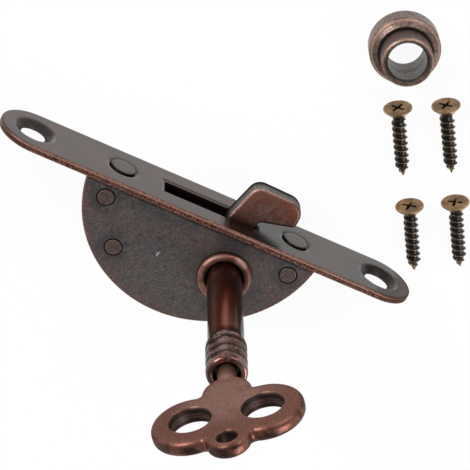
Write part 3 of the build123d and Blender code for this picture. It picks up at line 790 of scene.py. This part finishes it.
def screw_finish():
    """Antique brass head with a painted highlight round its rim, and painted highlights on the thread crests
    over dark roots.
    """
    root_brown, root_dark, crest_highlight = tint(50, 43, 38), tint(30, 26, 24), tint(160, 150, 136)
    point_brass, neck_grey, recess_dark = tint(134, 112, 88), tint(70, 64, 60), tint(46, 36, 30)
    brass, brass_brown, brass_dark = tint(146, 114, 76), tint(108, 84, 60), tint(88, 66, 52)
    brass_bright, rim_highlight = tint(186, 152, 108), tint(186, 156, 116)
    f = Finish("screw_finish", metallic=0.85, own_place="own_place")
    radius = f.x.hypot(f.y)
    speckle = f.noise(0.45, 4.0, 0.7)
    tarnish = f.noise(2.2, 3.0, 0.6, shift=4.0)
    crest = radius.rise(SCREW_CORE_R + 0.2, SCREW_THREAD_R - 0.08)
    shank = f.mix(speckle.rise(0.35, 0.65), root_brown, root_dark)
    # Painted highlights on the thread crests
    shank = f.mix(crest, shank, crest_highlight)
    shank = f.mix(f.z.rise(-13.2, -15.2) * 0.8, shank, point_brass)
    head = f.mix(speckle.rise(0.4, 0.68), brass, brass_brown)
    head = f.mix(tarnish.rise(0.46, 0.6) * 0.7, head, brass_dark)
    head = f.mix(tarnish.rise(0.44, 0.32) * 0.6, head, brass_bright)
    # A painted highlight round the head's rim
    head = f.mix(radius.near(SCREW_HEAD_R - 0.1, 0.25) * 0.5, head, rim_highlight)
    head = f.mix(f.z.rise(-1.3, -2.0), head, neck_grey)
    recess = f.z.rise(-0.02, -0.3) * radius.rise(2.2, 1.5)
    head = f.mix(recess * 0.7, head, recess_dark)
    colour = f.mix(f.z.rise(-2.1, -2.4), head, shank)
    return f.done(colour, speckle * 0.16 + 0.2, speckle * 12.0)


def steel_finish():
    """Plain oiled steel inside the case."""
    f = Finish("steel_finish", metallic=0.9)
    brushed = f.noise(0.4, 3.0, 0.6, stretch=(1, 1, 6))
    colour = f.mix(brushed.rise(0.3, 0.7), tint(120, 118, 116), tint(88, 85, 82))
    return f.done(colour, brushed * 0.2 + 0.25, brushed * 8.0)


def add_object(name, data):
    """A new object in the scene."""
    new = bpy.data.objects.new(name, data)
    scene.collection.objects.link(new)
    return new


def worked_out(piece):
    """A piece's mesh with its modifiers worked out."""
    bpy.context.view_layer.update()
    return bpy.data.meshes.new_from_object(piece.evaluated_get(bpy.context.evaluated_depsgraph_get()))


def dress(node, material):
    """Give a node its finish."""
    for slot in nodes[node].material_slots:
        slot.material = material


def pressed_face(x, z):
    """How far the faceplate's face lies below its flat: dished screw holes, staked studs, drawn-in slot."""
    hole = math.hypot(abs(x) - SCREW_HOLE_X, z)
    if hole < COUNTERSINK_R + DISH_SOFT:
        along = (COUNTERSINK_R + DISH_SOFT - hole) / (COUNTERSINK_R + DISH_SOFT - SCREW_HOLE_R)
        return COUNTERSINK_DEPTH * min(1.0, along) ** DISH_CURVE
    stud = math.hypot(abs(x) - STUD_X, z)
    if stud < STUD_RING_R:
        groove = (STUD_RING_R - stud) / (STUD_RING_R - STUD_R)
        return DIMPLE_DEEP + (STUD_RING_DEPTH - DIMPLE_DEEP) * min(1.0, groove)
    if stud < STUD_RING_R + DIMPLE_WIDE:
        return DIMPLE_DEEP * (1 - (stud - STUD_RING_R) / DIMPLE_WIDE) ** 2
    beyond_x = abs(x - SLOT_X) - SLOT_HALF_LENGTH
    beyond_z = abs(z - SLOT_Z) - SLOT_HALF_WIDTH
    from_slot = math.hypot(max(beyond_x, 0), max(beyond_z, 0))
    clear_of_hook = min(max((DRAW_END_X - x) / DRAW_FADE, 0.0), 1.0)
    return DRAW_DEEP * clear_of_hook * max(0.0, 1 - from_slot / DRAW_WIDE) ** 2


def add_faceplate():
    """The faceplate as pressed sheet: the node's shape in a fine even mesh, its hollows softened."""
    piece = add_object("faceplate_pressed", nodes["faceplate"].data.copy())
    remesh = piece.modifiers.new("even", "REMESH")
    remesh.mode = "VOXEL"
    remesh.voxel_size = PLATE_VOXEL * MM
    even = worked_out(piece)
    piece.modifiers.clear()
    piece.data = even
    bm = bmesh.new()
    bm.from_mesh(even)
    for vertex in bm.verts:
        x, y, z = vertex.co / MM
        depth = FACE_Y - y
        hole = math.hypot(abs(x) - SCREW_HOLE_X, z)
        inset = PLATE_HALF - math.hypot(max(abs(x) - PLATE_END_X, 0), z)
        if vertex.normal.y > FACE_TURN and inset > PRESS_INSET:
            vertex.co.y = (FACE_Y - pressed_face(x, z)) * MM
        elif hole < SCREW_HOLE_R + SCREW_HOLE_SIDE and depth > COUNTERSINK_DEPTH:
            # Below the countersink a screw hole widens towards the back
            away = Vector((x - math.copysign(SCREW_HOLE_X, x), 0, z)).normalized()
            vertex.co += away * (depth - COUNTERSINK_DEPTH) * MM
    bm.to_mesh(even)
    bm.free()
    even.shade_smooth()
    even.materials.clear()
    even.materials.append(faceplate_finish())
    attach(piece, "lock")
    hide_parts("faceplate")


def turned_point(step, radius, depth):
    """A point of the standing screw: a step of its turn, a distance from its axis, a depth below its face."""
    angle = 2 * math.pi * step / SCREW_STEPS
    return Vector((radius * math.cos(angle), radius * math.sin(angle), -depth)) * MM


def thread_point(step, turn, along, high):
    """A point of the thread: along the pitch of one turn, and so high between core and crest."""
    depth = THREAD_START + SCREW_PITCH * (step / SCREW_STEPS + turn - 1 + along)
    depth = min(max(depth, THREAD_START), SCREW_LENGTH)
    left = SCREW_LENGTH - depth
    body = min(1.0, left / SCREW_TAPER) ** CORE_CURVE
    draft = 1.0 - CORE_DRAFT * (depth - THREAD_START) / (SCREW_LENGTH - THREAD_START)
    full = min(1.0, (depth - THREAD_START) / THREAD_RUN_IN) * min(1.0, left / THREAD_RUN_OUT)
    core = SCREW_CORE_R * draft * body
    thread = (SCREW_THREAD_R - SCREW_CORE_R) * high * full * body ** CREST_CURVE
    return turned_point(step, core + thread, depth)


def screw_mesh():
    """A screw standing with its head's face at height 0: one closed skin with a real helix."""
    mesh = bpy.data.meshes.new("screw")
    bm = bmesh.new()
    turns = math.ceil((SCREW_LENGTH - THREAD_START) / SCREW_PITCH) + 2
    columns = []
    for step in range(SCREW_STEPS + 1):
        points = [turned_point(step, radius, depth) for radius, depth in HEAD_PROFILE]
        for turn in range(turns):
            points += [thread_point(step, turn, along, high) for along, high in THREAD_PROFILE]
        columns.append([bm.verts.new(point) for point in points])
    for left, right in zip(columns, columns[1:]):
        for row in range(len(left) - 1):
            bm.faces.new((left[row], left[row + 1], right[row + 1], right[row]))
    bmesh.ops.remove_doubles(bm, verts=bm.verts, dist=SEAM * MM)
    bmesh.ops.recalc_face_normals(bm, faces=bm.faces)
    bm.to_mesh(mesh)
    bm.free()
    return mesh


def recess_mesh():
    """The cutter for a cross recess: four wings that draw in towards the bottom."""
    mesh = bpy.data.meshes.new("recess")
    bm = bmesh.new()
    rings = []
    for height, reach, half in RECESS_RINGS:
        ring = []
        for quarter in range(4):
            turn = Matrix.Rotation(quarter * math.pi / 2, 3, "Z")
            for x, y in ((half, -half), (reach, -half * WING_END), (reach, half * WING_END)):
                ring.append(bm.verts.new(turn @ Vector((x, y, height)) * MM))
        rings.append(ring)
    for upper, lower in zip(rings, rings[1:]):
        for i in range(len(upper)):
            j = (i + 1) % len(upper)
            bm.faces.new((upper[i], lower[i], lower[j], upper[j]))
    bm.faces.new(rings[0])
    bm.faces.new(reversed(rings[-1]))
    bmesh.ops.recalc_face_normals(bm, faces=bm.faces)
    bm.to_mesh(mesh)
    bm.free()
    return mesh


def cut(mesh, cutter_mesh):
    """The mesh with a cutter taken out of it, in triangles, without the slivers that a cut leaves."""
    body = add_object("cut_body", mesh)
    tool = add_object("cut_tool", cutter_mesh)
    modifier = body.modifiers.new("recess", "BOOLEAN")
    modifier.object = tool
    modifier.operation = "DIFFERENCE"
    modifier.solver = "EXACT"
    result = worked_out(body)
    for obj in (body, tool):
        bpy.data.objects.remove(obj)
    bm = bmesh.new()
    bm.from_mesh(result)
    bmesh.ops.remove_doubles(bm, verts=bm.verts, dist=WELD * MM)
    bmesh.ops.dissolve_degenerate(bm, edges=bm.edges, dist=WELD * MM)
    bmesh.ops.triangulate(bm, faces=bm.faces)
    bmesh.ops.dissolve_degenerate(bm, edges=bm.edges, dist=WELD * MM)
    bm.to_mesh(result)
    bm.free()
    return result


def add_screws():
    """Four wood screws lying on their heads' rims and last threads."""
    shape = cut(screw_mesh(), recess_mesh())
    shape.materials.clear()
    shape.materials.append(screw_finish())
    own_place = shape.attributes.new("own_place", "FLOAT_VECTOR", "POINT")
    for vertex, stored in zip(shape.vertices, own_place.data):
        stored.vector = vertex.co / MM
    shape.shade_smooth()
    shape.set_sharp_from_angle(angle=SHARP_ANGLE)
    run = SCREW_LENGTH - SCREW_TAPER - SCREW_RIM
    tilt = math.atan2(SCREW_HEAD_R - SCREW_THREAD_R, run)
    lie = Matrix.Rotation(tilt - math.pi / 2, 4, "Y")
    for number, (head, tip) in enumerate(SCREW_PLACES, start=1):
        mesh = shape.copy()
        point_at = Matrix.Rotation(math.atan2(tip[1] - head[1], tip[0] - head[0]), 4, "Z")
        roll = Matrix.Rotation(math.radians(FIRST_ROLL + NEXT_ROLL * number), 4, "Z")
        mesh.transform(point_at @ lie @ roll)
        low = min(vertex.co.z for vertex in mesh.vertices)
        mesh.transform(Matrix.Translation((head[0] * MM, head[1] * MM, FLOOR_Z * MM - low)))
        piece = add_object(f"screw_{number}_threaded", mesh)
        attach(piece, f"screw_{number}")
        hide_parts(f"screw_{number}")


def dress_nodes():
    """Finishes of the nodes whose shape is right as it is."""
    dress("cap_plate", cap_finish())
    dress("back_pan", pan_finish())
    dress("keyhole_eyelet", eyelet_finish())
    dress("hook_bolt", hook_finish())
    dress("key_barrel", barrel_finish())
    dress("key_bow", bow_finish())
    dress("collar", collar_finish())
    stud = stud_finish()
    for side in ("left", "right"):
        dress("tenon_block_" + side, stud)
    for name, place in RIVETS.items():
        dress("rivet_" + name, rivet_finish(name, place, RIVET_WEAR[name]))
    steel = steel_finish()
    for name in INNER_NODES:
        dress(name, steel)


def add_camera():
    """The photograph's own view."""
    data = bpy.data.cameras.new("camera")
    camera = add_object("camera", data)
    back = CAMERA_RIGHT.cross(CAMERA_UP).normalized()
    right = CAMERA_UP.cross(back).normalized()
    up = back.cross(right).normalized()
    aim = Vector((0, FACE_Y, 0)) * MM
    axes = Matrix((right, up, back)).transposed().to_4x4()
    camera.matrix_world = Matrix.Translation(aim + back * CAMERA_DISTANCE) @ axes
    data.lens = CAMERA_LENS
    data.sensor_width = CAMERA_SENSOR
    data.shift_x, data.shift_y = CAMERA_SHIFT
    data.clip_start, data.clip_end = CAMERA_CLIP
    scene.camera = camera


def add_lamp(name, place, aim, size, power):
    """A square soft box."""
    data = bpy.data.lights.new(name, "AREA")
    data.shape = "SQUARE"
    data.size = size
    data.energy = power
    lamp = add_object(name, data)
    lamp.location = place
    lamp.rotation_euler = (Vector(aim) - Vector(place)).to_track_quat("-Z", "Y").to_euler()


def add_world():
    """A pale studio: white round the horizon, dimmer overhead."""
    world = bpy.data.worlds.new("world")
    scene.world = world
    world.use_nodes = True
    tree = world.node_tree
    light = tree.nodes["Background"]
    light.inputs["Color"].default_value = WHITE
    direction = tree.nodes.new("ShaderNodeTexCoord")
    split = tree.nodes.new("ShaderNodeSeparateXYZ")
    tree.links.new(direction.outputs["Generated"], split.inputs[0])
    height = Field(tree, split.outputs["Z"])
    strength = height.rise(SKY_HIGH, SKY_LOW) * (1 - SKY_DIM) + SKY_DIM
    tree.links.new(strength.socket, light.inputs["Strength"])


def add_floor():
    """White floor: what the camera and the metal see of it is mostly white, and it keeps the shadow."""
    corners = ((-1, -1), (1, -1), (1, 1), (-1, 1))
    mesh = bpy.data.meshes.new("floor")
    points = [(x * FLOOR_REACH, y * FLOOR_REACH, FLOOR_Z * MM) for x, y in corners]
    mesh.from_pydata(points, [], [(0, 1, 2, 3)])
    floor = add_object("floor", mesh)
    material = bpy.data.materials.new("floor")
    material.use_nodes = True
    tree = material.node_tree
    paper = tree.nodes["Principled BSDF"]
    paper.inputs["Base Color"].default_value = WHITE
    paper.inputs["Roughness"].default_value = PAPER_ROUGHNESS
    paper.inputs["Specular IOR Level"].default_value = PAPER_GLOSS
    white = tree.nodes.new("ShaderNodeEmission")
    path = tree.nodes.new("ShaderNodeLightPath")
    seen = Field(tree, path.outputs["Is Camera Ray"]).highest(Field(tree, path.outputs["Is Glossy Ray"]))
    seen = seen.highest(Field(tree, path.outputs["Is Transmission Ray"])) * FLOOR_WHITE
    mix = tree.nodes.new("ShaderNodeMixShader")
    tree.links.new(seen.socket, mix.inputs[0])
    tree.links.new(paper.outputs[0], mix.inputs[1])
    tree.links.new(white.outputs[0], mix.inputs[2])
    tree.links.new(mix.outputs[0], tree.nodes["Material Output"].inputs["Surface"])
    mesh.materials.append(material)


add_camera()
add_world()
add_floor()
for lamp in LAMPS:
    add_lamp(*lamp)
dress_nodes()
add_faceplate()
add_screws()

scene.view_settings.view_transform = "Standard"
